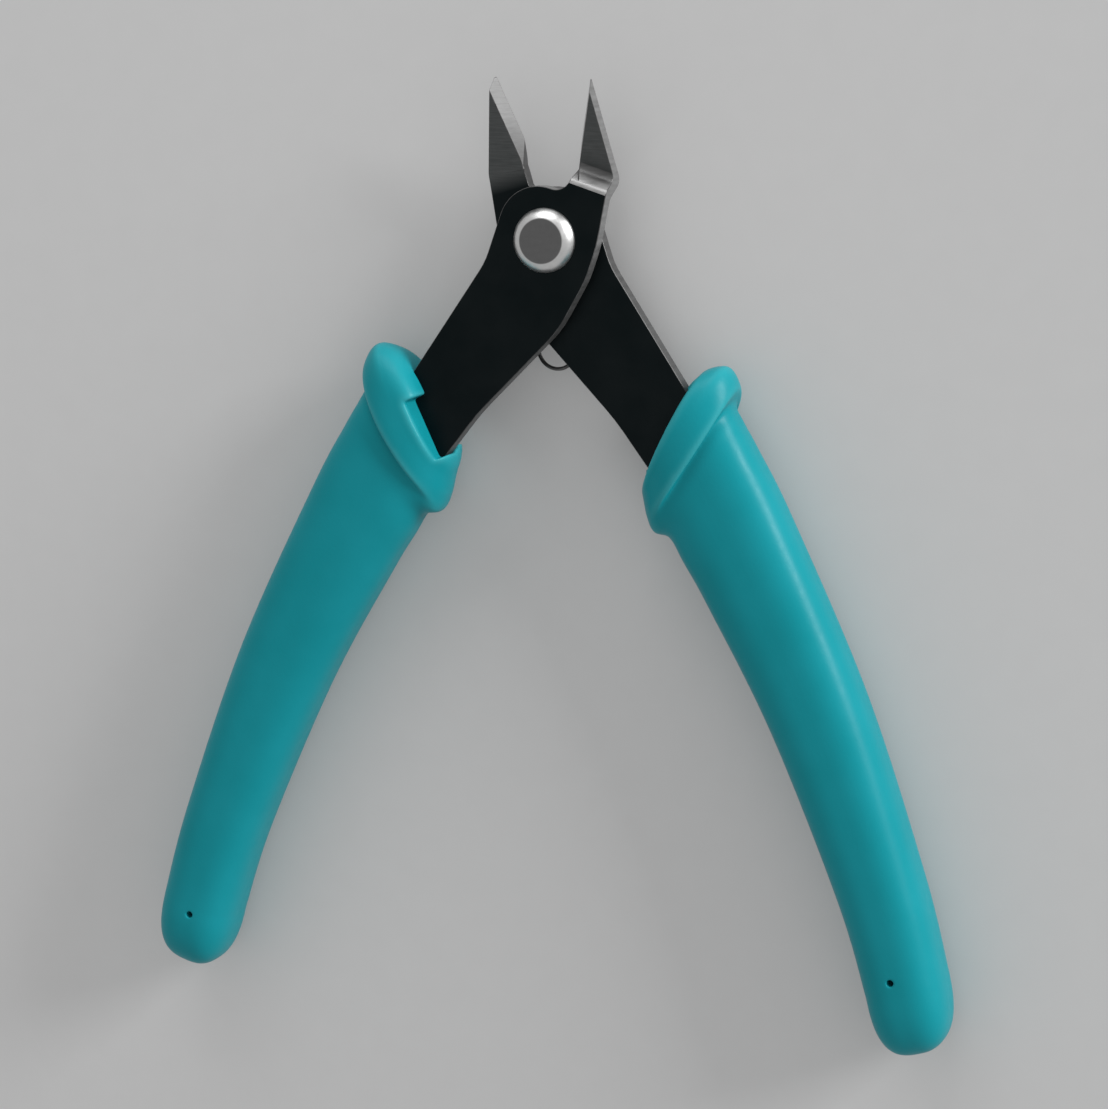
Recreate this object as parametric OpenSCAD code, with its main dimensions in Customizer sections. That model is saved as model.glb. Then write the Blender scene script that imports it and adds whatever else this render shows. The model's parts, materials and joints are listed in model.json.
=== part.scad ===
// Flush cutter: two lapped steel halves on one rivet, a wire return spring and two slip-on grips.
// Millimetres. The tool lies open on its back: X across, Y towards the jaws, Z up from the bench.

/* [Steel halves] */
// Thickness of the sheet that both halves are cut from
sheet = 2; // [1.8:0.1:2.1]
// Slack between the two lapped halves
lap_gap = 0.06; // [0.04:0.01:0.1]
// Angle that each half is turned from closed to open
open_angle = 17; // [15:1:19]
// Radius of the round lap about the pivot
boss_r = 6.4; // [6.2:0.1:6.6]
// Distance from the pivot to the hidden ends of the tangs
tang_end = 92; // [84:2:94]

/* [Jaws] */
// Angle that the jaws lean towards the front
jaw_lean = 25; // [20:1:26]
// Distance from the pivot to the bend where the jaws lean forward
bend_y = 9.8; // [9.6:0.1:10.2]
// Distance from the pivot to the step that brings the front half level with the rear one
joggle_y = 8.3; // [8.1:0.1:8.5]
// Distance from the pivot to the tips, seen from the front
tip_y = 21; // [19:0.1:22]
// Width of the blunt tip of each jaw
tip_w = 0.2; // [0.1:0.05:0.4]
// Distance from the pivot to the start of the cutting edges
edge_y = 13; // [12.6:0.1:13.4]
// Half width of the slot that is left behind the closed cutting edges
throat = 0.9; // [0.7:0.05:1.1]

/* [Pivot] */
// Radius of the rivet's shank
shank_r = 2.5; // [2:0.1:2.8]
// Radial slack of the shank in both bores
shank_slack = 0.05; // [0.02:0.01:0.08]
// Radius of the rivet's head at the plate
head_r = 4.05; // [3.8:0.05:4.4]
// Radius of the flat on top of the head
head_flat_r = 2.85; // [2.4:0.05:3]
// Height of the head
head_h = 1.5; // [1:0.1:1.8]
// Radius of the washer under the tail
washer_r = 3.7; // [3.5:0.1:4]
// Thickness of the washer
washer_t = 0.8; // [0.5:0.1:1]

/* [Return spring] */
// Thickness of the spring wire
wire_d = 0.5; // [0.4:0.05:0.6]
// Radius of the loop, to the middle of the wire
loop_r = 2.6; // [2.3:0.1:2.8]
// Distance from the pivot to the middle of the loop
loop_drop = 14; // [13.6:0.1:14.4]
// Distance along the pivot axis that the wire moves in one turn
loop_pitch = 1; // [0.98:0.01:1.05]
// Angle of each open leg from the length of the tool
leg_angle = 43; // [42:0.5:44]
// Length of each leg from the loop to its end inside a grip
leg_length = 20; // [19:0.5:20.5]

/* [Grips] */
// Half thickness of the grips where they lie on the bench
rest_half = 5.55; // [5.4:0.05:5.6]
// Diameter of the vent hole near the end of each grip
vent_d = 0.9; // [0.7:0.1:1.2]
// Thickness of the slot behind the tang that takes the end of the spring
wire_slot = 1.2; // [1:0.1:1.4]

/* [Hidden] */
$fn = 48;

// Length that reaches past every piece, for cutting shapes
far = 130;
// Angle of one step of a rounded corner
arc_step = 6;

steel = [0.11, 0.115, 0.12];
rivet_steel = [0.55, 0.56, 0.57];
wire_steel = [0.3, 0.3, 0.31];
teal = [0.02, 0.43, 0.46];

// Heights of the faces of the lapped plates, from the middle of the lap
front_low = lap_gap / 2;
front_high = front_low + sheet;
rear_high = -front_low;
rear_low = rear_high - sheet;

// Roundings of the two halves at the bottom of the slot, and length over which the slot closes
front_fillet = 2;
rear_fillet = 1.1;
throat_taper = 3.2;
// Plan of one closed half with its jaw to the right and its tang to the left: x, y, corner radius
function half_corners(fillet) = [
    // Blunt tip and outer side of the jaw
    [0, tip_y, 0],
    [tip_w, tip_y, 0],
    [5.7, 9.9, 4],
    // Side of the lap, running into the inner side of the tang
    [6.7, 1.5, 20],
    [6.6, -3, 12],
    [5.1, -10.2, 15],
    [-2, -24, 30],
    [-9.8, -45, 40],
    [-13.2, -60, 60],
    // End of the tang inside the grip
    [-17.2, -tang_end, 2],
    [-22.6, -tang_end, 2],
    // Outer side of the tang, up to the lap
    [-21, -60, 80],
    [-18.8, -45, 60],
    [-14.3, -30, 30],
    [-6.75, -5.2, 10],
    // Round top of the lap, which runs into the slot up to the cutting edge
    [-boss_r, boss_r, boss_r + throat - fillet],
    [throat, boss_r, fillet],
    [throat, edge_y - throat_taper, 0],
    [0, edge_y, 0],
];

// Pocket that the vent hole opens into, past the end of the tang, and its overlap with the tang's slot
pocket_w = 5;
pocket_x = -19.9;
pocket_end = 103;
pocket_overlap = 1;
vent_x = -19.4;
left_vent_y = -101.2;
right_vent_y = -99.5;
// How far each grip is pushed on past its nominal place
left_seat = 0.4;
right_seat = -0.4;

// Sections of the left grip from the mouth down: outer x, y, inner x, y, half thickness, how far the front
// and back lead the sides towards the jaws, and how square the section is
grip_sections = [
    // Mouth and rounded front of the collar
    [-11.8, -22, -4.3, -29.7, 2.8, 0.3, 2.2],
    [-13.1, -21.1, -3.7, -30.5, 4.6, 0.3, 2.2],
    [-15.4, -20.3, -3.3, -31.9, 5.6, 0.3, 2.2],
    // Crest of the collar, front and back
    [-18.1, -20.7, -3.3, -33.6, 5.9, -0.4, 2.2],
    [-18.8, -23.4, -3.1, -36.1, 6, -1.5, 2.2],
    // Step behind the crest, and the neck
    [-17.6, -25.4, -3.5, -38.4, 5, 0.2, 2.5],
    [-17.9, -27.8, -5.4, -39.6, 5.05, 0.2, 2.7],
    // Body, from the neck to the start of the rounded end
    [-18.8, -31.6, -6.4, -43, 5.2, 0, 2.8],
    [-20.7, -40.7, -8, -49, 5.35, 0, 2.8],
    [-24.1, -64.4, -11.7, -66, 5.6, 0, 2.8],
    [-25.2, -88.4, -14.4, -88.4, 5.65, 0, 2.8],
    [-24.9, -100.8, -14.7, -100.8, 5.6, 0, 2.8],
];
// Steps between two sections, and sides of a section
section_steps = 3;
section_sides = 28;
// Length and steps of the rounded end of a grip, and the angle at which its last ring stops
cap_length = 8.7;
cap_steps = 6;
cap_angle = 86;
// Drift of the rounded end inwards for each millimetre of its length
cap_drift = 0.06;

// Arc that rounds corner q between its neighbours p and r
function unit(v) = v / norm(v);
function turned(v, a) = [v.x * cos(a) - v.y * sin(a), v.x * sin(a) + v.y * cos(a)];
function rounded_corner(p, q, r, radius) =
    let (
        back = unit(p - q),
        ahead = unit(r - q),
        half = acos(back * ahead) / 2,
        centre = q + unit(back + ahead) * radius / sin(half),
        start = q + back * radius / tan(half) - centre,
        left_turn = back.x * ahead.y - back.y * ahead.x < 0,
        sweep = (left_turn ? 1 : -1) * (180 - 2 * half),
        steps = max(2, round(abs(sweep) / arc_step))
    )
    [for (i = [0:steps]) centre + turned(start, sweep * i / steps)];

// Outline through corners given as x, y, radius
function flat_point(c) = [c[0], c[1]];
function outline(corners) =
    let (last = len(corners) - 1)
    [for (i = [0:last])
        let (
            before = flat_point(corners[i == 0 ? last : i - 1]),
            here = flat_point(corners[i]),
            after = flat_point(corners[i == last ? 0 : i + 1])
        )
        each corners[i][2] == 0 ? [here] : rounded_corner(before, here, after, corners[i][2])];

// Point on the back of the sheet behind a bend at p, from slope a to slope b
function behind_bend(p, a, b) =
    p + sheet / cos((b - a) / 2) * [sin((a + b) / 2), -cos((a + b) / 2)];
function on_slope(p, a) = p + far * [cos(a), sin(a)];

// Side profiles of the two halves, as y and z
jaw_bend = [bend_y, rear_high];
jaw_back = behind_bend(jaw_bend, 0, jaw_lean);
joggle_top = [joggle_y, front_high];
joggle_fall = atan2(jaw_bend.y - joggle_top.y, jaw_bend.x - joggle_top.x);
joggle_back = behind_bend(joggle_top, 0, joggle_fall);
joggle_foot = behind_bend(jaw_bend, joggle_fall, jaw_lean);

// Radii of the front half's step, outside and inside, and of the rear half's easier bend, inside
step_outside_r = 0.9;
step_inside_r = 0.9;
bend_inside_r = 5;

function bend_corner(p, radius) = [p.x, p.y, radius];
front_profile = [
    [-far, front_high, 0],
    bend_corner(joggle_top, step_outside_r),
    bend_corner(jaw_bend, step_inside_r),
    bend_corner(on_slope(jaw_bend, jaw_lean), 0),
    bend_corner(on_slope(joggle_foot, jaw_lean), 0),
    bend_corner(joggle_foot, step_outside_r),
    bend_corner(joggle_back, step_inside_r),
    [-far, front_low, 0],
];
rear_profile = [
    [-far, rear_high, 0],
    bend_corner(jaw_bend, bend_inside_r),
    bend_corner(on_slope(jaw_bend, jaw_lean), 0),
    bend_corner(on_slope(jaw_back, jaw_lean), 0),
    bend_corner(jaw_back, bend_inside_r + sheet),
    [-far, rear_low, 0],
];

// Wedge that grinds the inner side of a jaw down to its cutting edge on the back face
grind_w = 5;
grind_length = 16;

module edge_grind() {
    translate([0, jaw_back.x, jaw_back.y])
        rotate([jaw_lean, 0, 0])
            rotate([0, atan(throat / sheet), 0])
                translate([-grind_w, 0, 0]) cube([grind_w, grind_length, grind_w]);
}

// One closed half, cut from its plan and bent to its side profile
module half(profile, fillet) {
    difference() {
        intersection() {
            translate([0, 0, -far / 2]) linear_extrude(far) polygon(outline(half_corners(fillet)));
            translate([-far / 2, 0, 0]) rotate([90, 0, 90]) linear_extrude(far) polygon(outline(profile));
        }
        edge_grind();
        cylinder(h = far, r = shank_r + shank_slack, center = true);
    }
}

// Places for the two closed halves in the open tool on the bench
module on_bench() {
    translate([0, pivot_y, rest_half]) children();
}
module front_side() {
    on_bench() rotate([0, 0, -open_angle]) children();
}
module rear_side() {
    on_bench() rotate([0, 0, open_angle]) mirror([1, 0, 0]) children();
}

module front_half() {
    color(steel) front_side() half(front_profile, front_fillet);
}

module rear_half() {
    color(steel) rear_side() half(rear_profile, rear_fillet);
}

// Rivet with a chamfered head in front and a flared tail under its washer
tail_r = 3.1;
tail_h = 0.7;
head_rim = 0.3;
washer_slack = 0.03;
washer_top = rear_low - washer_slack;
washer_low = washer_top - washer_t;

module pivot_rivet() {
    color(rivet_steel) on_bench() {
        translate([0, 0, washer_low]) cylinder(h = front_high - washer_low, r = shank_r);
        translate([0, 0, front_high]) cylinder(h = head_rim, r = head_r);
        translate([0, 0, front_high + head_rim])
            cylinder(h = head_h - head_rim, r1 = head_r, r2 = head_flat_r);
        translate([0, 0, washer_low - tail_h]) cylinder(h = tail_h, r1 = shank_r, r2 = tail_r);
    }
}

module pivot_washer() {
    color(rivet_steel) on_bench() translate([0, 0, washer_low]) difference() {
        cylinder(h = washer_t, r = washer_r);
        cylinder(h = far, r = shank_r + shank_slack, center = true);
    }
}

// Spring wire: in from the left leg, once round the loop and a little more, out along the right leg
wire_slack = 0.12;
wire_sides = 6;
loop_rings = 36;
leg_rings = 12;
ramp_start = 8.5;
ramp_length = 7;
loop_sweep = 540 - 2 * leg_angle;
left_seat_z = front_low - wire_slack - wire_d / 2;
right_seat_z = rear_low - wire_slack - wire_d / 2;
loop_end_z = right_seat_z - loop_pitch * loop_sweep / 360;
left_tangent = [-cos(leg_angle), sin(leg_angle)] * loop_r - [0, loop_drop];
right_tangent = [-left_tangent.x, left_tangent.y];

function smooth(t) = let (u = min(max(t, 0), 1)) u * u * (3 - 2 * u);
function ramp(s) = smooth((s - ramp_start) / ramp_length);
function leg_point(from, side, s, z) =
    [from.x + side * s * sin(leg_angle), from.y - s * cos(leg_angle), z];
function loop_point(t) =
    let (a = 180 - leg_angle - loop_sweep * t)
    [loop_r * cos(a), loop_r * sin(a) - loop_drop, right_seat_z + (loop_end_z - right_seat_z) * t];
wire_path = [
    for (i = [0:leg_rings - 1])
        let (s = leg_length * (1 - i / leg_rings))
        leg_point(left_tangent, -1, s, right_seat_z + (left_seat_z - right_seat_z) * ramp(s)),
    for (i = [0:loop_rings]) loop_point(i / loop_rings),
    for (i = [1:leg_rings])
        let (s = leg_length * i / leg_rings)
        leg_point(right_tangent, 1, s, loop_end_z + (right_seat_z - loop_end_z) * ramp(s)),
];

// Least gap of the wire to itself, between points at least half a turn apart
half_turn = round(loop_rings * 180 / loop_sweep);
wire_gap = min([
    for (i = [0:len(wire_path) - 1], j = [0:len(wire_path) - 1])
        if (j > i + half_turn) norm(wire_path[i] - wire_path[j])
]) - wire_d;
echo(least_wire_gap = wire_gap);

// Tube along a path that never runs straight up
function path_ahead(path, i) = unit(path[min(i + 1, len(path) - 1)] - path[max(i - 1, 0)]);
function tube_points(path, r, sides) = [
    for (i = [0:len(path) - 1], k = [0:sides - 1])
        let (
            ahead = path_ahead(path, i),
            across = unit(cross(ahead, [0, 0, 1])),
            over = cross(across, ahead),
            a = 360 * k / sides
        )
        path[i] + r * (across * cos(a) + over * sin(a))
];

// Triangles of a skin over rings of points, closed at both ends
function skin_faces(rings, sides) = [
    for (i = [0:rings - 2], k = [0:sides - 1])
        let (a = i * sides + k, b = i * sides + (k + 1) % sides)
        each [[a, a + sides, b], [b, a + sides, b + sides]],
    for (k = [1:sides - 2]) [0, k, k + 1],
    for (k = [1:sides - 2], top = (rings - 1) * sides) [top, top + k + 1, top + k],
];

module return_spring() {
    color(wire_steel) on_bench()
        polyhedron(tube_points(wire_path, wire_d / 2, wire_sides), skin_faces(len(wire_path), wire_sides));
}

// Smooth curve through rows of numbers, at a place counted in rows
function curve_row(rows, place) =
    let (
        last = len(rows) - 1,
        i = min(floor(place), last - 1),
        u = place - i,
        p = rows[max(i - 1, 0)],
        q = rows[i],
        r = rows[i + 1],
        s = rows[min(i + 2, last)]
    )
    q + u * ((r - p) + u * ((2 * p - 5 * q + 4 * r - s) + u * (3 * q - p - 3 * r + s))) / 2;

// Ring of a grip, between an outer and an inner point, with flattened round sides
function squared(v, squareness) = sign(v) * pow(abs(v), 2 / squareness);
function grip_ring(row) =
    let (outer = [row[0], row[1]], inner = [row[2], row[3]])
    [for (k = [0:section_sides - 1])
        let (
            a = 360 * k / section_sides,
            mid = (outer + inner) / 2,
            plan = mid + (inner - outer) / 2 * squared(cos(a), row[6]),
            height = squared(sin(a), row[6])
        )
        [plan.x, plan.y + row[5] * height * height, row[4] * height]];

// Rows of the rounded end, which shrinks from the last section and is as square as it
function cap_row(row, step) =
    let (
        a = cap_angle * step / cap_steps,
        shrink = squared(cos(a), row[6]),
        low = cap_length * squared(sin(a), row[6]),
        mid = [row[0] + row[2], row[1] + row[3]] / 2 + [low * cap_drift, -low],
        reach = [row[2] - row[0], row[3] - row[1]] / 2 * shrink
    )
    [mid.x - reach.x, mid.y - reach.y, mid.x + reach.x, mid.y + reach.y, row[4] * shrink, 0, row[6]];

section_count = (len(grip_sections) - 1) * section_steps;
last_section = grip_sections[len(grip_sections) - 1];
grip_rows = [
    for (i = [0:section_count]) curve_row(grip_sections, i / section_steps),
    for (i = [1:cap_steps]) cap_row(last_section, i),
];

// The origin is under the middle of the open tool, between the tips and the end of the lower grip
tips_reach = turned([0, tip_y], -open_angle).y;
grip_reach = min([
    for (row = grip_rows, p = grip_ring(row)) turned([p.x, p.y + right_seat], -open_angle).y
]);
pivot_y = -(tips_reach + grip_reach) / 2;
echo(pivot_y = pivot_y);

// Plane that the mouth is cut back to, between the nose at its outer end and the lobe at its inner end
wall_outer = [-10.6, -25.4];
wall_inner = [-5, -31.4];
wall_in = unit([wall_inner.y - wall_outer.y, wall_outer.x - wall_inner.x]);
// Shares of the way along that plane, from outer to inner: past the collar, just within the tang's sides,
// and from the nose to the lobe
past_collar = [-1, 2];
within_tang = [-0.25, 0.98];
nose_to_lobe = [0, 1];
// Slot for the wire: its depth behind that plane, and shares of the way along it
wire_slot_depth = 2;
wire_share = [0.55, 0.95];
// Ways in which a cut runs forward from that plane: square to it, or along the tang
square_on = -wall_in;
along_tang = [0.36, 0.93];
// How far a cut reaches out from that plane, and how far the cuts on both faces of the tang overlap
wall_reach = 6;
cut_overlap = 0.5;

// Cut between two shares of the way from one end of the plane to the other
module mouth_cut(share, ahead, depth, height) {
    start = wall_outer + (wall_inner - wall_outer) * share[0];
    end = wall_outer + (wall_inner - wall_outer) * share[1];
    linear_extrude(height)
        polygon([
            start + ahead * wall_reach,
            end + ahead * wall_reach,
            end + wall_in * depth,
            start + wall_in * depth,
        ]);
}

// Closed left grip around a tang between two heights. On one face of the tang the nose and the lobe are left
// standing at the ends of the mouth. On the other, plain face the mouth is cut back between two shares.
grip_points = [for (row = grip_rows) each grip_ring(row)];
grip_faces = skin_faces(len(grip_rows), section_sides);

module grip(tang_low, tang_high, vent_y, seat, nose_in_front, plain_share, plain_ahead) {
    tang_t = tang_high - tang_low;
    tang_mid = (tang_low + tang_high) / 2;
    nose_side = nose_in_front ? tang_mid - cut_overlap : tang_mid + cut_overlap - far;
    plain_side = nose_in_front ? tang_mid - far : tang_mid;
    difference() {
        intersection() {
            translate([0, seat, 0]) polyhedron(grip_points, grip_faces);
            translate([-far, -far, -rest_half]) cube(2 * far);
        }
        translate([0, 0, tang_low]) linear_extrude(tang_t) {
            polygon(outline(half_corners(front_fillet)));
            translate([pocket_x - pocket_w / 2, -pocket_end])
                square([pocket_w, pocket_end - tang_end + pocket_overlap]);
        }
        translate([0, seat, nose_side]) mouth_cut(nose_to_lobe, square_on, 0, far);
        translate([0, seat, plain_side]) mouth_cut(plain_share, plain_ahead, 0, far);
        translate([0, seat, tang_low - wire_slot])
            mouth_cut(wire_share, square_on, wire_slot_depth, wire_slot);
        translate([vent_x, vent_y]) cylinder(h = far, d = vent_d, center = true);
    }
}

module left_grip() {
    color(teal) front_side()
        grip(front_low, front_high, left_vent_y, left_seat, true, within_tang, along_tang);
}

module right_grip() {
    color(teal) rear_side()
        grip(rear_low, rear_high, right_vent_y, right_seat, false, past_collar, square_on);
}

front_half();
rear_half();
pivot_rivet();
pivot_washer();
return_spring();
left_grip();
right_grip();
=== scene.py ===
"""Looks of an open flush cutter that lies on its back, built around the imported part.

Pieces are shaped in millimetres in the frame of one closed half, whose pivot is the origin, and then
turned into their places in the open tool.
"""

import json
import math

import bmesh
import bpy
import numpy as np
from mathutils import Matrix, Vector


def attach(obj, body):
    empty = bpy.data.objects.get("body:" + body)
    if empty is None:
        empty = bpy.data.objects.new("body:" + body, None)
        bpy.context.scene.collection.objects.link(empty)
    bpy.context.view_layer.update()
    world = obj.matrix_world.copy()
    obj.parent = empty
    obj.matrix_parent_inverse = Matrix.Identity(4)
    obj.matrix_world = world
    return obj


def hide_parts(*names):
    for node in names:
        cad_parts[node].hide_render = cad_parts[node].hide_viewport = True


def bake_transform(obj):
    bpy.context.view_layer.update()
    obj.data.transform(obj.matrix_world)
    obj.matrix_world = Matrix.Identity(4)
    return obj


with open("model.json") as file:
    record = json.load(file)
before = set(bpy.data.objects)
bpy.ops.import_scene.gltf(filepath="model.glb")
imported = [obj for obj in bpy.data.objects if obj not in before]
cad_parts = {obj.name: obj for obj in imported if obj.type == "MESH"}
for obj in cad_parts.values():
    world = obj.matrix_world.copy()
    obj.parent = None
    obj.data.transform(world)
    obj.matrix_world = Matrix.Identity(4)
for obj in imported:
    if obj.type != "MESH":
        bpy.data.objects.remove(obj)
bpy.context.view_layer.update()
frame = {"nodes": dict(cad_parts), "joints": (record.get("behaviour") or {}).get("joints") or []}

MM = 0.001
PIVOT = Vector(frame["joints"][0]["pos_m"])
OPEN_ANGLE = math.radians(17)

# Heights of the plates' faces, from the middle of the lap
SHEET = 2.0
LAP_GAP = 0.06
FRONT_LOW = LAP_GAP / 2
FRONT_HIGH = FRONT_LOW + SHEET
REAR_HIGH = -FRONT_LOW
REAR_LOW = REAR_HIGH - SHEET

# Places of the two closed halves in the open tool
TO_FRAME = Matrix.Translation(PIVOT) @ Matrix.Scale(MM, 4)
FRONT_SIDE = TO_FRAME @ Matrix.Rotation(-OPEN_ANGLE, 4, "Z")
REAR_SIDE = TO_FRAME @ Matrix.Rotation(OPEN_ANGLE, 4, "Z") @ Matrix.Scale(-1, 4, (1, 0, 0))


# Shared tools for meshes

def applied(piece):
    """Mesh of an object with its modifiers applied; the object is removed."""
    graph = bpy.context.evaluated_depsgraph_get()
    mesh = bpy.data.meshes.new_from_object(piece.evaluated_get(graph))
    bpy.data.objects.remove(piece)
    return mesh


def loose_object(name, data):
    """Object in the scene for a mesh, a lamp or a camera."""
    piece = bpy.data.objects.new(name, data)
    bpy.context.scene.collection.objects.link(piece)
    return piece


def mesh_from(name, points, faces):
    """Mesh from points and faces, with its normals turned outwards."""
    mesh = bpy.data.meshes.new(name)
    mesh.from_pydata([tuple(p) for p in points], [], faces)
    shape = bmesh.new()
    shape.from_mesh(mesh)
    bmesh.ops.recalc_face_normals(shape, faces=shape.faces)
    shape.to_mesh(mesh)
    shape.free()
    mesh.shade_smooth()
    return mesh


def skin(rings):
    """Points and faces of a skin over rings of points, closed at both ends."""
    count, sides = rings.shape[:2]
    faces = []
    for i in range(count - 1):
        for k in range(sides):
            after = (k + 1) % sides
            faces.append((i * sides + k, i * sides + after, (i + 1) * sides + after, (i + 1) * sides + k))
    faces.append(tuple(range(sides)))
    faces.append(tuple(range((count - 1) * sides, count * sides)))
    return rings.reshape(-1, 3), faces


def finished(name, mesh, place, body, node):
    """Piece of the object that stands for a CAD node, from a mesh with its materials."""
    mesh.transform(place)
    if place.determinant() < 0:
        mesh.flip_normals()
    piece = loose_object(name, mesh)
    if body:
        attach(piece, body)
    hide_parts(node)
    return piece


# Materials

# Spans of a noise's values that a ramp spreads out, wide and narrow
WIDE = (0.3, 0.7)
NARROW = (0.35, 0.65)
# How much paler the marks on graded steel are
PALER = 1.4


def grey(value):
    """Colour with equal parts."""
    return (value, value, value)


class Nodes:
    """Short way to build the node tree of one material."""

    def __init__(self, name):
        self.material = bpy.data.materials.new(name)
        self.material.use_nodes = True
        self.tree = self.material.node_tree
        self.shader = self.tree.nodes["Principled BSDF"]
        self.coordinates = self.add("ShaderNodeTexCoord").outputs["Object"]

    def add(self, kind, **settings):
        """New node of a kind, with its settings."""
        node = self.tree.nodes.new(kind)
        for key, value in settings.items():
            setattr(node, key, value)
        return node

    def link(self, output, socket):
        """Link from an output to an input socket."""
        self.tree.links.new(output, socket)

    def noise(self, size_mm, detail=3.0, stretch=(1, 1, 1)):
        """Noise whose features are about size_mm wide, stretched along the axes."""
        mapping = self.add("ShaderNodeMapping")
        mapping.inputs["Scale"].default_value = [1 / (size_mm * MM * s) for s in stretch]
        self.link(self.coordinates, mapping.inputs["Vector"])
        noise = self.add("ShaderNodeTexNoise")
        noise.inputs["Scale"].default_value = 1.0
        noise.inputs["Detail"].default_value = detail
        self.link(mapping.outputs["Vector"], noise.inputs["Vector"])
        return noise.outputs["Fac"]

    def ramp(self, value, low, high, start, end):
        """Value spread from start..end over low..high."""
        spread = self.add("ShaderNodeMapRange")
        for key, number in (("From Min", low), ("From Max", high), ("To Min", start), ("To Max", end)):
            spread.inputs[key].default_value = number
        self.link(value, spread.inputs["Value"])
        return spread.outputs["Result"]

    def along(self, lean, start_mm, end_mm):
        """From 0 to 1 between two distances from the pivot, along a half that leans by an angle."""
        way = Vector((math.sin(lean), math.cos(lean), 0))
        distance = self.add("ShaderNodeVectorMath", operation="DOT_PRODUCT")
        distance.inputs[1].default_value = way
        self.link(self.coordinates, distance.inputs[0])
        origin = PIVOT.dot(way)
        return self.ramp(distance.outputs["Value"], origin + start_mm * MM, origin + end_mm * MM, 0, 1)

    def mix(self, value, first, second):
        """Colour between two colours or colour outputs."""
        mix = self.add("ShaderNodeMix", data_type="RGBA")
        self.link(value, mix.inputs[0])
        for socket, colour in ((mix.inputs[6], first), (mix.inputs[7], second)):
            if isinstance(colour, tuple):
                socket.default_value = (*colour, 1)
            else:
                self.link(colour, socket)
        return mix.outputs[2]

    def bump(self, *layers):
        """Bump from pairs of height output and depth in millimetres, one over the other."""
        normal = None
        for height, depth_mm in layers:
            bump = self.add("ShaderNodeBump")
            bump.inputs["Distance"].default_value = depth_mm * MM
            self.link(height, bump.inputs["Height"])
            if normal:
                self.link(normal, bump.inputs["Normal"])
            normal = bump.outputs["Normal"]
        self.link(normal, self.shader.inputs["Normal"])

    def set(self, **values):
        """Constants on the shader's sockets, named in lower case."""
        for key, value in values.items():
            self.shader.inputs[key.capitalize()].default_value = value


def teal_vinyl():
    """Satin moulded vinyl, a little mottled, with a painted highlight that makes its ridges paler."""
    nodes = Nodes("teal_vinyl")
    mottle = nodes.noise(9, detail=4)
    body = nodes.mix(nodes.ramp(mottle, *NARROW, 0, 1), (0.004, 0.24, 0.28), (0.006, 0.255, 0.3))
    # Painted highlight: the collar's ridges get a paler teal, as if they caught the light
    ridge_highlight = nodes.add("ShaderNodeAttribute", attribute_name="ridge_highlight").outputs["Fac"]
    nodes.link(nodes.mix(ridge_highlight, body, (0.03, 0.31, 0.35)), nodes.shader.inputs["Base Color"])
    nodes.link(nodes.ramp(nodes.noise(1.2), *WIDE, 0.34, 0.42), nodes.shader.inputs["Roughness"])
    nodes.bump((nodes.noise(0.35, detail=2), 0.01), (nodes.noise(5), 0.02))
    nodes.shader.inputs["Specular IOR Level"].default_value = 0.15
    nodes.shader.inputs["Specular Tint"].default_value = (0.8, 1, 1, 1)
    return nodes.material


def black_oxide(name, lean, grey_from, grey_to):
    """Blackened sheet that turns grey towards the ground face of its jaw.

    The half leans by an angle when open; the grey starts and is full at distances along it from the pivot.
    """
    nodes = Nodes(name)
    cloud = nodes.noise(6, detail=5)
    sheet = nodes.mix(nodes.ramp(cloud, *NARROW, 0, 1), (0.0095, 0.0135, 0.0145), (0.013, 0.017, 0.018))
    grain = nodes.noise(0.5, detail=3, stretch=(6, 0.4, 1))
    jaw = nodes.mix(nodes.ramp(grain, *WIDE, 0, 1), (0.09, 0.095, 0.095), (0.115, 0.12, 0.12))
    on_jaw = nodes.along(lean, grey_from, grey_to)
    nodes.link(nodes.mix(on_jaw, sheet, jaw), nodes.shader.inputs["Base Color"])
    nodes.link(nodes.ramp(nodes.noise(0.8), *WIDE, 0.36, 0.5), nodes.shader.inputs["Roughness"])
    nodes.bump((nodes.noise(0.25), 0.006), (cloud, 0.02))
    nodes.set(metallic=1.0)
    return nodes.material


def bare_steel(name, dark, pale, smooth, rough, stretch, metallic=1.0):
    """Bare steel with fine marks along one direction; torn metal is less metallic."""
    nodes = Nodes(name)
    marks = nodes.noise(0.5, detail=4, stretch=stretch)
    colour = nodes.mix(nodes.ramp(marks, *WIDE, 0, 1), grey(dark), grey(pale))
    nodes.link(colour, nodes.shader.inputs["Base Color"])
    nodes.link(nodes.ramp(marks, *WIDE, smooth, rough), nodes.shader.inputs["Roughness"])
    nodes.bump((marks, 0.008))
    nodes.set(metallic=metallic)
    return nodes.material


def graded_steel(name, lean, start, end, first, second, stretch, metallic):
    """Steel whose grey changes between two distances along a half, with paler marks in one direction."""
    nodes = Nodes(name)
    marks = nodes.noise(0.5, detail=4, stretch=stretch)
    place = nodes.along(lean, start, end)
    plain = nodes.mix(place, grey(first), grey(second))
    pale = nodes.mix(place, grey(PALER * first), grey(PALER * second))
    nodes.link(nodes.mix(nodes.ramp(marks, *WIDE, 0, 1), plain, pale), nodes.shader.inputs["Base Color"])
    nodes.link(nodes.ramp(marks, *WIDE, 0.44, 0.58), nodes.shader.inputs["Roughness"])
    nodes.bump((marks, 0.006))
    nodes.set(metallic=metallic)
    return nodes.material


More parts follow.
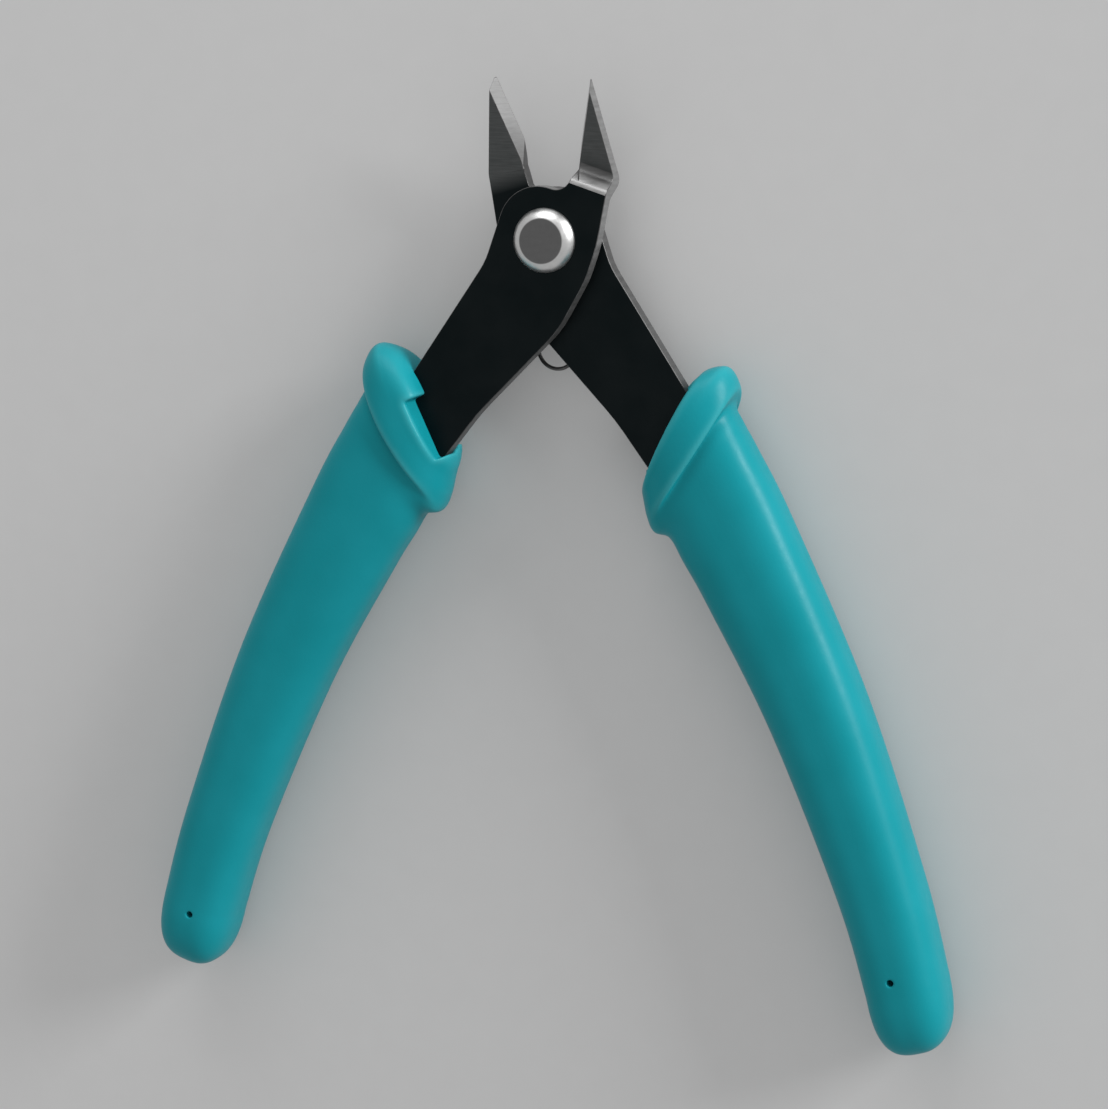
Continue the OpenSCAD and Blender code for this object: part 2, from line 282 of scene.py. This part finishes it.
def turned_steel():
    """Rivet steel with turning rings about the pivot, bright on the chamfer and painted dark on the flat as
    painted shade.
    """
    ring_size, flat_end, chamfer_start = 3.2 * MM, 2.75 * MM, 2.9 * MM
    nodes = Nodes("turned_steel")
    mapping = nodes.add("ShaderNodeMapping")
    mapping.inputs["Location"].default_value = (-PIVOT.x, -PIVOT.y, 0)
    mapping.inputs["Scale"].default_value = (1, 1, 0)
    nodes.link(nodes.coordinates, mapping.inputs["Vector"])
    radius = nodes.add("ShaderNodeVectorMath", operation="LENGTH")
    nodes.link(mapping.outputs["Vector"], radius.inputs[0])
    rings = nodes.add("ShaderNodeTexWave", wave_type="RINGS", rings_direction="Z", wave_profile="SIN")
    rings.inputs["Scale"].default_value = 1 / ring_size
    rings.inputs["Distortion"].default_value = 0.6
    nodes.link(mapping.outputs["Vector"], rings.inputs["Vector"])
    marks = nodes.noise(0.6, detail=4)
    # Painted shade: the flat gets a far darker grey than the chamfer, though both are the same steel
    flat_painted_shade = nodes.mix(marks, grey(0.15), grey(0.18))
    chamfer = nodes.mix(marks, grey(0.62), (0.8, 0.8, 0.79))
    on_chamfer = nodes.ramp(radius.outputs["Value"], flat_end, chamfer_start, 0, 1)
    nodes.link(nodes.mix(on_chamfer, flat_painted_shade, chamfer), nodes.shader.inputs["Base Color"])
    nodes.link(nodes.ramp(marks, *WIDE, 0.33, 0.38), nodes.shader.inputs["Roughness"])
    nodes.bump((rings.outputs["Fac"], 0.003), (marks, 0.002))
    nodes.set(metallic=1.0)
    return nodes.material


def studio_paper():
    """Plain pale paper on a faint light table."""
    nodes = Nodes("studio_paper")
    fibre = nodes.noise(4, detail=4)
    pulp = nodes.mix(fibre, grey(0.475), grey(0.495))
    nodes.link(pulp, nodes.shader.inputs["Base Color"])
    nodes.set(roughness=0.9)
    nodes.shader.inputs["Emission Color"].default_value = (1, 1, 1, 1)
    nodes.shader.inputs["Emission Strength"].default_value = 0.09
    return nodes.material


VINYL = teal_vinyl()
FRONT_BLACK = black_oxide("front_black", OPEN_ANGLE, grey_from=8.0, grey_to=8.6)
REAR_BLACK = black_oxide("rear_black", -OPEN_ANGLE, grey_from=7.2, grey_to=9.6)
FRONT_SIDES = graded_steel(
    "front_sides", OPEN_ANGLE, start=-4, end=4, first=0.075, second=0.19, stretch=(1, 1, 8), metallic=0.5,
)
REAR_SIDES = graded_steel(
    "rear_sides", -OPEN_ANGLE, start=-4, end=4, first=0.08, second=0.1, stretch=(1, 1, 8), metallic=0.5,
)
# Bare steel on the joggle's step, with a painted highlight: palest at its convex foot, fading to the jaw's
# grey towards the bend under the jaw
STEP = graded_steel(
    "step_steel_painted_highlight", OPEN_ANGLE, start=8.3, end=9.3, first=0.36, second=0.13,
    stretch=(6, 0.5, 1), metallic=1.0,
)
GROUND = bare_steel(
    "ground_bevel", dark=0.31, pale=0.37, smooth=0.42, rough=0.52, stretch=(4, 0.3, 4), metallic=0.6,
)
WORN = bare_steel("worn_edge", dark=0.06, pale=0.12, smooth=0.36, rough=0.5, stretch=(2, 2, 2), metallic=0.7)
RIVET = turned_steel()
WIRE = bare_steel("drawn_wire", dark=0.08, pale=0.15, smooth=0.26, rough=0.4, stretch=(1, 1, 1))


# Steel halves

EDGE_BREAK = 0.08
JAW_LEAN = math.radians(25)
JAW_UP = Vector((0, -math.sin(JAW_LEAN), math.cos(JAW_LEAN)))
BORE_REACH = 2.7
# Parts of a normal above which a face leans sideways, and below which it stands upright
SIDEWAYS = 0.3
UPRIGHT = 0.1
# Cosine of the angle within which two faces look the same way
SAME_WAY = math.cos(math.radians(1.5))
# Angles up to which faces are joined into one, and from which the edge between them is broken
ONE_FACE = math.radians(0.4)
SHARP = math.radians(35)
# Points this close together, in millimetres, are one point
WELD = 0.001
# Finishes, in the order of a plate's materials
FLAT, SIDE, BEVEL, EDGE, BEND = range(5)


def plate_finish(closed_normal):
    """Finish of a plate's face: flat, sheared side, ground bevel of the jaw, or bend of the sheet."""
    if abs(closed_normal.x) > SIDEWAYS or abs(closed_normal.z) < SIDEWAYS:
        return BEVEL if closed_normal.z > SIDEWAYS else SIDE
    if abs(closed_normal.z) > SAME_WAY or abs(closed_normal.dot(JAW_UP)) > SAME_WAY:
        return FLAT
    return BEND


def fill_bore(shape, to_closed):
    """Close the bore, which the rivet hides, so that the flat faces have no seams around it."""
    wall = []
    for face in shape.faces:
        middle = to_closed @ face.calc_center_median()
        if abs(face.normal.z) < UPRIGHT and math.hypot(middle.x, middle.y) < BORE_REACH:
            wall.append(face)
    bmesh.ops.delete(shape, geom=wall, context="FACES")
    rims = [edge for edge in shape.edges if edge.is_boundary]
    bmesh.ops.holes_fill(shape, edges=rims, sides=0)


def split_shading(mesh):
    """Mark the borders between finishes as sharp, so that flat faces are shaded flat."""
    shape = bmesh.new()
    shape.from_mesh(mesh)
    for edge in shape.edges:
        finishes = {face.material_index for face in edge.link_faces}
        edge.smooth = len(finishes) == 1
    shape.to_mesh(mesh)
    shape.free()


def plate(name, node, side, body, black, sides, bend):
    """Half of the tool from its CAD solid, with broken edges and a finish for each kind of face."""
    shape = bmesh.new()
    shape.from_mesh(frame["nodes"][node].data)
    to_closed = side.inverted()
    turn = to_closed.to_3x3()
    bmesh.ops.remove_doubles(shape, verts=shape.verts, dist=WELD * MM)
    fill_bore(shape, to_closed)
    bmesh.ops.recalc_face_normals(shape, faces=shape.faces)
    bmesh.ops.dissolve_limit(shape, angle_limit=ONE_FACE, verts=shape.verts, edges=shape.edges)
    for face in shape.faces:
        face.material_index = plate_finish((turn @ face.normal).normalized())
    mesh = bpy.data.meshes.new(name)
    shape.to_mesh(mesh)
    shape.free()
    for material in (black, sides, GROUND, WORN, bend):
        mesh.materials.append(material)
    work = loose_object(name + "_work", mesh)
    bevel = work.modifiers.new("edge_break", "BEVEL")
    bevel.width = EDGE_BREAK * MM
    bevel.segments = 2
    bevel.angle_limit = SHARP
    bevel.use_clamp_overlap = False
    bevel.material = EDGE
    done = applied(work)
    done.name = name
    done.shade_smooth()
    split_shading(done)
    return finished(name, done, Matrix.Identity(4), body, node)


plate("front_plate", "front_half", FRONT_SIDE, "front", FRONT_BLACK, FRONT_SIDES, STEP)
plate("rear_plate", "rear_half", REAR_SIDE, "rear", REAR_BLACK, REAR_SIDES, REAR_BLACK)


# Rivet and washer, turned about the pivot

def rounded(corners, steps=5):
    """Line through corners given as radius, height, rounding."""
    line = [Vector(corners[0][:2])]
    for before, here, after in zip(corners, corners[1:], corners[2:]):
        p, q, r = (Vector(c[:2]) for c in (before, here, after))
        back = (p - q).normalized() * here[2]
        ahead = (r - q).normalized() * here[2]
        for i in range(steps + 1):
            t = i / steps
            line.append(q + back * (1 - t) ** 2 + ahead * t ** 2)
    line.append(Vector(corners[-1][:2]))
    return line


def turned(name, corners, node, closed_line=False):
    """Piece turned about the pivot from a line of corners."""
    sides = 96
    line = rounded(corners)
    angles = [2 * math.pi * k / sides for k in range(sides)]
    rings = np.array([[(p.x * math.cos(a), p.x * math.sin(a), p.y) for a in angles] for p in line])
    points, faces = skin(rings)
    if closed_line:
        faces = faces[:-2]
        last = (len(line) - 1) * sides
        for k in range(sides):
            after = (k + 1) % sides
            faces.append((last + k, last + after, after, k))
    mesh = mesh_from(name, points, faces)
    mesh.materials.append(RIVET)
    return finished(name, mesh, TO_FRAME, "front", node)


# Radius of the small ring that closes a turned piece at its axis
MIDDLE_R = 0.02
HEAD_R = 4.05
HEAD_FLAT_R = 2.85
HEAD_H = 1.5
HEAD_RIM = 0.3
HEAD_CROWN = 0.15
HEAD_TOP = FRONT_HIGH + HEAD_H
SHANK_R = 2.5
WASHER_R = 3.7
WASHER_T = 0.8
WASHER_GAP = 0.03
WASHER_TOP = REAR_LOW - WASHER_GAP
WASHER_LOW = WASHER_TOP - WASHER_T
BORE_SLACK = 0.05
BORE_R = SHANK_R + BORE_SLACK
BORE_CHAMFER = 0.1
RIM_CHAMFER = 0.15
TAIL_R = 3.1
TAIL_FLAT_R = 1.4
TAIL_H = 0.7
TAIL_SHOULDER = 0.12
TAIL_LOW = WASHER_LOW - TAIL_H

turned("rivet", [
    (MIDDLE_R, HEAD_TOP, 0),
    (HEAD_FLAT_R, HEAD_TOP, 0.12),
    ((HEAD_FLAT_R + HEAD_R) / 2 + HEAD_CROWN, (HEAD_TOP + FRONT_HIGH + HEAD_RIM) / 2 + HEAD_CROWN, 0.5),
    (HEAD_R, FRONT_HIGH + HEAD_RIM, 0.18),
    (HEAD_R, FRONT_HIGH, 0.05),
    (SHANK_R, FRONT_HIGH, 0.05),
    (SHANK_R, WASHER_LOW, 0.05),
    (TAIL_R, WASHER_LOW, 0.1),
    (SHANK_R, TAIL_LOW + TAIL_SHOULDER, 0.25),
    (TAIL_FLAT_R, TAIL_LOW, 0.5),
    (MIDDLE_R, TAIL_LOW, 0),
], "pivot_rivet")

turned("washer", [
    (BORE_R, WASHER_TOP - BORE_CHAMFER, 0),
    (BORE_R + BORE_CHAMFER, WASHER_TOP, 0.04),
    (WASHER_R - RIM_CHAMFER, WASHER_TOP, 0.1),
    (WASHER_R, WASHER_TOP - RIM_CHAMFER, 0.1),
    (WASHER_R, WASHER_LOW + RIM_CHAMFER, 0.1),
    (WASHER_R - RIM_CHAMFER, WASHER_LOW, 0.1),
    (BORE_R + BORE_CHAMFER, WASHER_LOW, 0.04),
    (BORE_R, WASHER_LOW + BORE_CHAMFER, 0),
], "pivot_washer", closed_line=True)


# Return spring

WIRE_R = 0.25
WIRE_SLACK = 0.12
LOOP_R = 2.6
LOOP_DROP = 14.0
LOOP_PITCH = 1.0
LEG_ANGLE = math.radians(43)
LEG_LENGTH = 20.0
RAMP_START = 8.5
RAMP_LENGTH = 7.0
LOOP_SWEEP = 3 * math.pi - 2 * LEG_ANGLE
LEFT_SEAT = FRONT_LOW - WIRE_SLACK - WIRE_R
RIGHT_SEAT = REAR_LOW - WIRE_SLACK - WIRE_R
LOOP_END = RIGHT_SEAT - LOOP_PITCH * LOOP_SWEEP / (2 * math.pi)


def ramp_up(s):
    """Share of the way from the loop's level to the leg's seat, at a distance along the leg."""
    u = min(max((s - RAMP_START) / RAMP_LENGTH, 0), 1)
    return u * u * (3 - 2 * u)


def leg_point(side, s, level, seat):
    """Point on a leg at a distance from the loop; side is -1 on the left."""
    x = side * (LOOP_R * math.cos(LEG_ANGLE) + s * math.sin(LEG_ANGLE))
    y = LOOP_R * math.sin(LEG_ANGLE) - LOOP_DROP - s * math.cos(LEG_ANGLE)
    return (x, y, level + (seat - level) * ramp_up(s))


def loop_point(t):
    """Point on the loop, from the left leg at 0 to the right leg at 1."""
    a = math.pi - LEG_ANGLE - LOOP_SWEEP * t
    height = RIGHT_SEAT + (LOOP_END - RIGHT_SEAT) * t
    return (LOOP_R * math.cos(a), LOOP_R * math.sin(a) - LOOP_DROP, height)


def return_spring():
    """Wire with one loop and two legs, between the two halves."""
    leg_steps, loop_steps, sides = 40, 110, 14
    path = [leg_point(-1, LEG_LENGTH * (1 - i / leg_steps), RIGHT_SEAT, LEFT_SEAT) for i in range(leg_steps)]
    path += [loop_point(i / loop_steps) for i in range(loop_steps + 1)]
    path += [leg_point(1, LEG_LENGTH * i / leg_steps, LOOP_END, RIGHT_SEAT) for i in range(1, leg_steps + 1)]
    path = np.array(path)
    ahead = np.gradient(path, axis=0)
    ahead /= np.linalg.norm(ahead, axis=1)[:, None]
    across = np.cross(ahead, (0, 0, 1))
    across /= np.linalg.norm(across, axis=1)[:, None]
    over = np.cross(across, ahead)
    a = np.linspace(0, 2 * math.pi, sides, endpoint=False)
    rings = path[:, None] + WIRE_R * (
        across[:, None] * np.cos(a)[None, :, None] + over[:, None] * np.sin(a)[None, :, None]
    )
    mesh = mesh_from("spring_wire", *skin(rings))
    mesh.materials.append(WIRE)
    piece = finished("spring_wire", mesh, TO_FRAME, None, "return_spring")
    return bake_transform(piece)


return_spring()


# Grips

# Sections of the left grip from the mouth down: outer x, y, inner x, y, half thickness, how far the
# front and back lead the sides towards the jaws, and how square the section is
GRIP_SECTIONS = np.array([
    # Mouth and rounded front of the collar
    (-11.8, -22, -4.3, -29.7, 2.8, 0.3, 2.2),
    (-13.1, -21.1, -3.7, -30.5, 4.6, 0.3, 2.2),
    (-15.4, -20.3, -3.3, -31.9, 5.6, 0.3, 2.2),
    # Crest of the collar, front and back
    (-18.1, -20.7, -3.3, -33.6, 5.9, -0.4, 2.2),
    (-18.8, -23.4, -3.1, -36.1, 6, -1.5, 2.2),
    # Step behind the crest, and the neck
    (-17.6, -25.4, -3.5, -38.4, 5, 0.2, 2.5),
    (-17.9, -27.8, -5.4, -39.6, 5.05, 0.2, 2.7),
    # Body, from the neck to the start of the rounded end
    (-18.8, -31.6, -6.4, -43, 5.2, 0, 2.8),
    (-20.7, -40.7, -8, -49, 5.35, 0, 2.8),
    (-24.1, -64.4, -11.7, -66, 5.6, 0, 2.8),
    (-25.2, -88.4, -14.4, -88.4, 5.65, 0, 2.8),
    (-24.9, -100.8, -14.7, -100.8, 5.6, 0, 2.8),
])
GRIP_RINGS = 155

# Rounded end: its length, how far round it goes, and how it drifts inwards on the way down
CAP_RINGS = 24
CAP_LENGTH = 8.7
CAP_ANGLE = math.radians(86)
CAP_DRIFT = 0.06

# Depth of the flat that the tool rests on, below the middle of the lap
REST_HALF = PIVOT.z / MM

# Back wall of the mouth, from its outer to its inner end, and the two ways that a cut runs out from it
WALL_OUTER = np.array((-10.6, -25.4))
WALL_INNER = np.array((-5.0, -31.4))
WALL_ALONG = WALL_INNER - WALL_OUTER
WALL_IN = np.array((WALL_ALONG[1], -WALL_ALONG[0])) / np.linalg.norm(WALL_ALONG)
SQUARE_ON = -WALL_IN
ALONG_TANG = np.array((0.36, 0.93))

# Where cuts start and end along that wall, as shares of its length
PAST_COLLAR = (-1, 2)
WITHIN_TANG = (-0.25, 0.98)
NOSE_TO_LOBE = (0, 1)
WIRE_SHARE = (0.55, 0.95)

# How far cuts reach: out of the mouth, past the middle of the tang, and past the grip's faces
WALL_REACH = 6.0
CUT_OVERLAP = 1.1
FAR = 9.0

# Slot for the spring's leg, and the vent hole
WIRE_SLOT = 1.2
WIRE_SLOT_DEPTH = 2.0
VENT_R = 0.45
VENT_X = -19.4
VENT_SIDES = 24

# Moulded skin: its grain, how far it stays inside the solid, and how it is smoothed
SKIN_VOXEL = 0.15
SKIN_INSET = 0.02
SKIN_ROUNDS = 4
LIP_DEPTH = 1.6
LIP_ROUNDS = 24
HALF_WAY = 0.5

# Painted highlight on the ridges: their lower end, how far they spread, and the percentiles that count as
# none and full
RIDGES_ABOVE = -44.0
RIDGE_SPREAD = 13
RIDGE_SPAN = (70, 99.5)


def curve_row(place):
    """Smooth curve through the sections, at a place counted in rows."""
    last = len(GRIP_SECTIONS) - 1
    i = min(int(place), last - 1)
    u = place - i
    p, q, r, s = (GRIP_SECTIONS[min(max(k, 0), last)] for k in range(i - 1, i + 3))
    return q + u * ((r - p) + u * ((2 * p - 5 * q + 4 * r - s) + u * (3 * q - p - 3 * r + s))) / 2


def squared(value, squareness):
    """Cosine or sine bent towards the corners of a square."""
    return np.sign(value) * abs(value) ** (2 / squareness)


def section_parts(row):
    """Middle, reach from the middle to the inner point, and the other three values of a section."""
    outer, inner = row[0:2], row[2:4]
    return (outer + inner) / 2, (inner - outer) / 2, *row[4:]


def cap_row(t):
    """Section of the rounded end, t of the way from the last section to the tip."""
    middle, reach, thick, _, squareness = section_parts(GRIP_SECTIONS[-1])
    a = CAP_ANGLE * t
    shrink = squared(math.cos(a), squareness)
    low = (CAP_LENGTH - SKIN_INSET) * squared(math.sin(a), squareness)
    middle = middle + (low * CAP_DRIFT, -low)
    reach = reach * shrink
    return np.array([*(middle - reach), *(middle + reach), thick * shrink, 0, squareness])


def grip_ring(row, sides=96):
    """Ring of a grip between its outer and inner points, a hair inside its solid."""
    middle, reach, thick, lead, squareness = section_parts(row)
    a = np.linspace(0, 2 * math.pi, sides, endpoint=False)
    across = squared(np.cos(a), squareness)
    height = squared(np.sin(a), squareness)
    reach = reach * (1 - SKIN_INSET / np.linalg.norm(reach))
    plan = middle + np.outer(across, reach)
    return np.column_stack([plan[:, 0], plan[:, 1] + lead * height ** 2, (thick - SKIN_INSET) * height])


def mouth_cutter(share, ahead, depth, low, high, seat):
    """Prism that cuts the mouth back to its plane, between two shares of the way along that plane."""
    start, end = (WALL_OUTER + WALL_ALONG * part for part in share)
    near, deep = ahead * WALL_REACH, WALL_IN * depth
    plan = [start + near, end + near, end + deep, start + deep]
    rings = np.array([[(x, y + seat, z) for x, y in plan] for z in (low, high)])
    return loose_object("mouth_cut", mesh_from("mouth_cut", *skin(rings)))


def round_mouth(mesh, seat):
    """Round off the nose, the lobe and the lip of the mouth."""
    shape = bmesh.new()
    shape.from_mesh(mesh)
    plane = Vector((*WALL_OUTER, 0)) + Vector((0, seat, 0))
    inward = Vector((*WALL_IN, 0))
    lip = [point for point in shape.verts if (point.co - plane).dot(inward) < LIP_DEPTH]
    every_way = {"use_axis_x": True, "use_axis_y": True, "use_axis_z": True}
    for _ in range(LIP_ROUNDS):
        bmesh.ops.smooth_vert(shape, verts=lip, factor=HALF_WAY, **every_way)
    shape.to_mesh(mesh)
    shape.free()


def vent_cutter(vent_y):
    """Thin rod that makes the vent hole."""
    angles = np.linspace(0, 2 * math.pi, VENT_SIDES, endpoint=False)
    plan = [(VENT_X + VENT_R * math.cos(a), vent_y + VENT_R * math.sin(a)) for a in angles]
    rings = np.array([[(x, y, z) for x, y in plan] for z in (-FAR, FAR)])
    return loose_object("vent", mesh_from("vent", *skin(rings)))


def mesh_values(items, key, width, kind=float):
    """Array with a row of values for each point or edge of a mesh."""
    values = np.empty(len(items) * width, kind)
    items.foreach_get(key, values)
    return values.reshape(-1, width)


def neighbour_mean(values, ends):
    """Mean of the values at each point's neighbours, from the two ends of every edge."""
    total = np.zeros(values.shape)
    number = np.zeros(len(values))
    for here, there in ((0, 1), (1, 0)):
        np.add.at(total, ends[:, here], values[ends[:, there]])
        np.add.at(number, ends[:, here], 1)
    return total / np.maximum(number, 1)[:, None]


def ridge_values(mesh):
    """How far each point stands out from its neighbours, from 0 on flats to 1 on ridges, as the mask of the
    painted highlight.
    """
    points = mesh_values(mesh.vertices, "co", 3)
    normals = mesh_values(mesh.vertices, "normal", 3)
    ends = mesh_values(mesh.edges, "vertices", 2, int)
    offset = points - neighbour_mean(points, ends)
    value = (offset * normals).sum(1)[:, None]
    for _ in range(RIDGE_SPREAD):
        value = neighbour_mean(value, ends)
    low, high = np.percentile(value, RIDGE_SPAN)
    on_collar = points[:, 1] > RIDGES_ABOVE
    return np.clip((value[:, 0] - low) / (high - low), 0, 1) * on_collar


def grip(name, node, side, body, tang, vent_y, seat, nose_in_front, plain_share, plain_ahead):
    """Slip-on sleeve with an oblique collar, a mouth cut back beside the nose and a vent near its end."""
    rows = [curve_row(place) for place in np.linspace(0, len(GRIP_SECTIONS) - 1, GRIP_RINGS)]
    rows += [cap_row(i / CAP_RINGS) for i in range(1, CAP_RINGS + 1)]
    rings = np.array([grip_ring(row) for row in rows]) + (0, seat, 0)
    work = loose_object(name + "_work", mesh_from(name, *skin(rings)))
    tang_low, tang_high = tang
    tang_mid = (tang_low + tang_high) / 2
    nose_side, plain_side = (tang_mid - CUT_OVERLAP, FAR), (-FAR, tang_mid)
    if not nose_in_front:
        nose_side, plain_side = (-FAR, tang_mid + CUT_OVERLAP), (tang_mid, FAR)
    cutters = [
        mouth_cutter(NOSE_TO_LOBE, SQUARE_ON, 0, *nose_side, seat),
        mouth_cutter(plain_share, plain_ahead, 0, *plain_side, seat),
        mouth_cutter(WIRE_SHARE, SQUARE_ON, WIRE_SLOT_DEPTH, tang_low - WIRE_SLOT, tang_low, seat),
        vent_cutter(vent_y),
    ]
    for cutter in cutters:
        cut = work.modifiers.new("cut", "BOOLEAN")
        cut.object = cutter
        cut.operation = "DIFFERENCE"
    remesh = work.modifiers.new("moulded", "REMESH")
    remesh.mode = "VOXEL"
    remesh.voxel_size = SKIN_VOXEL
    smooth = work.modifiers.new("smoothed", "SMOOTH")
    smooth.factor = HALF_WAY
    smooth.iterations = SKIN_ROUNDS
    mesh = applied(work)
    for cutter in cutters:
        bpy.data.objects.remove(cutter)
    round_mouth(mesh, seat)
    for vertex in mesh.vertices:
        vertex.co.z = max(vertex.co.z, -REST_HALF)
    mesh.name = name
    mesh.materials.append(VINYL)
    mesh.shade_smooth()
    # Mask of the painted highlight on the collar's ridges
    ridge_highlight = mesh.attributes.new("ridge_highlight", "FLOAT", "POINT")
    ridge_highlight.data.foreach_set("value", ridge_values(mesh))
    return finished(name, mesh, side, body, node)


FRONT_TANG = (FRONT_LOW, FRONT_HIGH)
REAR_TANG = (REAR_LOW, REAR_HIGH)
grip(
    "left_sleeve", "left_grip", FRONT_SIDE, "front", FRONT_TANG,
    vent_y=-101.2, seat=0.4, nose_in_front=True, plain_share=WITHIN_TANG, plain_ahead=ALONG_TANG,
)
grip(
    "right_sleeve", "right_grip", REAR_SIDE, "rear", REAR_TANG,
    vent_y=-99.5, seat=-0.4, nose_in_front=False, plain_share=PAST_COLLAR, plain_ahead=SQUARE_ON,
)


# Floor, light and camera

def floor():
    """Wide sheet of paper under the tool."""
    half = 2.0
    mesh = bpy.data.meshes.new("paper")
    corners = [(-half, -half, 0), (half, -half, 0), (half, half, 0), (-half, half, 0)]
    mesh.from_pydata(corners, [], [(0, 1, 2, 3)])
    mesh.materials.append(studio_paper())
    loose_object("paper", mesh)


def soft_light(name, place, size, power):
    """Square soft box that shines on the middle of the tool."""
    lamp = bpy.data.lights.new(name, "AREA")
    lamp.size = size
    lamp.energy = power
    box = loose_object(name, lamp)
    box.location = place
    box.rotation_euler = (-Vector(place)).to_track_quat("-Z", "Y").to_euler()


def studio():
    """Even surroundings, a low key light on the right, and a small light beyond the jaws."""
    world = bpy.data.worlds.new("studio")
    world.use_nodes = True
    surroundings = world.node_tree.nodes["Background"]
    surroundings.inputs["Color"].default_value = (1, 1, 1, 1)
    surroundings.inputs["Strength"].default_value = 0.5
    bpy.context.scene.world = world
    bpy.context.scene.view_settings.view_transform = "Standard"
    soft_light("key", place=(1.72, 0.98, 0.38), size=0.72, power=41)
    soft_light("beyond", place=(-0.1, 0.68, 0.2), size=0.5, power=2.0)


def camera():
    """Camera at the photograph's angle, seen from the pivot: swung right, tilted up and rolled."""
    swing, tilt, roll = (math.radians(a) for a in (20.07, -9.85, 0.62))
    turn = Matrix.Rotation(swing, 3, "Y") @ Matrix.Rotation(tilt, 3, "X") @ Matrix.Rotation(roll, 3, "Z")
    lens = bpy.data.cameras.new("camera")
    lens.sensor_width = 36
    lens.lens = 108.55
    lens.clip_start = 0.01
    eye = loose_object("camera", lens)
    stand_off = Vector((0.48, -39.4, 418))
    eye.location = PIVOT + turn @ stand_off * MM
    eye.rotation_euler = turn.to_euler()
    bpy.context.scene.camera = eye


floor()
studio()
camera()
